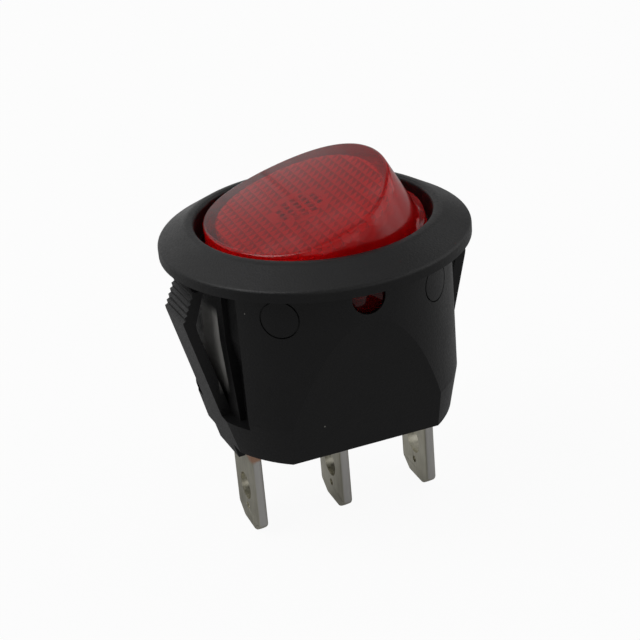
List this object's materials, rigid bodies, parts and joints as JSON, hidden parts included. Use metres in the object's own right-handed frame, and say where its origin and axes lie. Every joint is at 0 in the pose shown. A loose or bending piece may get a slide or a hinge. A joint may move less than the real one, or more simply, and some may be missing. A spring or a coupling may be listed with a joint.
{
  "type": "panel rocker switch",
  "caption": "Round snap-in rocker switch for a panel: a raised translucent red rocker in a black flanged barrel with snap wings and flat tabs below.",
  "frame": {"origin": "centre of the panel cut-out, on the panel's front face (the flange's underside)", "axes": "+Z out of the panel towards the user, X along the row of tabs with the raised end of the rocker at +X, Y along the rocker's pivot"},
  "size_m": [0.023, 0.023, 0.0281],
  "materials": {
    "black_nylon": "fine matt moulded nylon",
    "red_lens": "clear deep red moulding, polished outside",
    "white_nylon": "natural white nylon",
    "spring_steel": "drawn spring wire",
    "bare_copper": "bare copper alloy strip",
    "contact_silver": "silver-faced rivet",
    "tinned_brass": "tin-plated brass with a satin, slightly streaked face",
    "spring_bronze": "bare bronze strip",
    "lamp_glass": "clear glass envelope",
    "resistor_lacquer": "beige lacquer",
    "lead_wire": "tinned copper wire"
  },
  "bodies": {
    "housing": {"housing": "black_nylon", "terminal_line": "tinned_brass", "terminal_load": "tinned_brass", "terminal_lamp": "tinned_brass", "fixed_contact": "contact_silver", "lamp_finger_load": "spring_bronze", "lamp_finger_neutral": "spring_bronze"},
    "rocker": {"rocker": "red_lens", "plunger_spring": "spring_steel", "lamp_carrier": "white_nylon", "neon_lamp": "lamp_glass", "lamp_resistor": "resistor_lacquer", "lamp_lead_load": "lead_wire", "lamp_lead_link": "lead_wire", "lamp_lead_neutral": "lead_wire", "lamp_button_load": "spring_bronze", "lamp_button_neutral": "spring_bronze"},
    "plunger": {"plunger": "white_nylon"},
    "contact_lever": {"contact_lever": "bare_copper", "moving_contact": "contact_silver"}
  },
  "joints": [
    {"name": "rocker_tilt", "type": "hinge", "parent": "housing", "child": "rocker", "pos_m": [0, 0, -0.00095], "axis": [0, 1, 0], "range_deg": [0, 32]},
    {"name": "contact_tilt", "type": "hinge", "parent": "housing", "child": "contact_lever", "pos_m": [0, 0, -0.00932], "axis": [0, 1, 0], "range_deg": [-18, 0]},
    {"name": "plunger_slide", "type": "slide", "parent": "rocker", "child": "plunger", "axis": [-0.2756, 0, 0.9613], "range_m": [0, 0.0007], "stiffness_N_per_m": 500, "deforming": ["plunger_spring"]}
  ],
  "couplings": [
    {"joint": "contact_tilt", "follows": "rocker_tilt", "ratio": -0.5625}
  ]
}
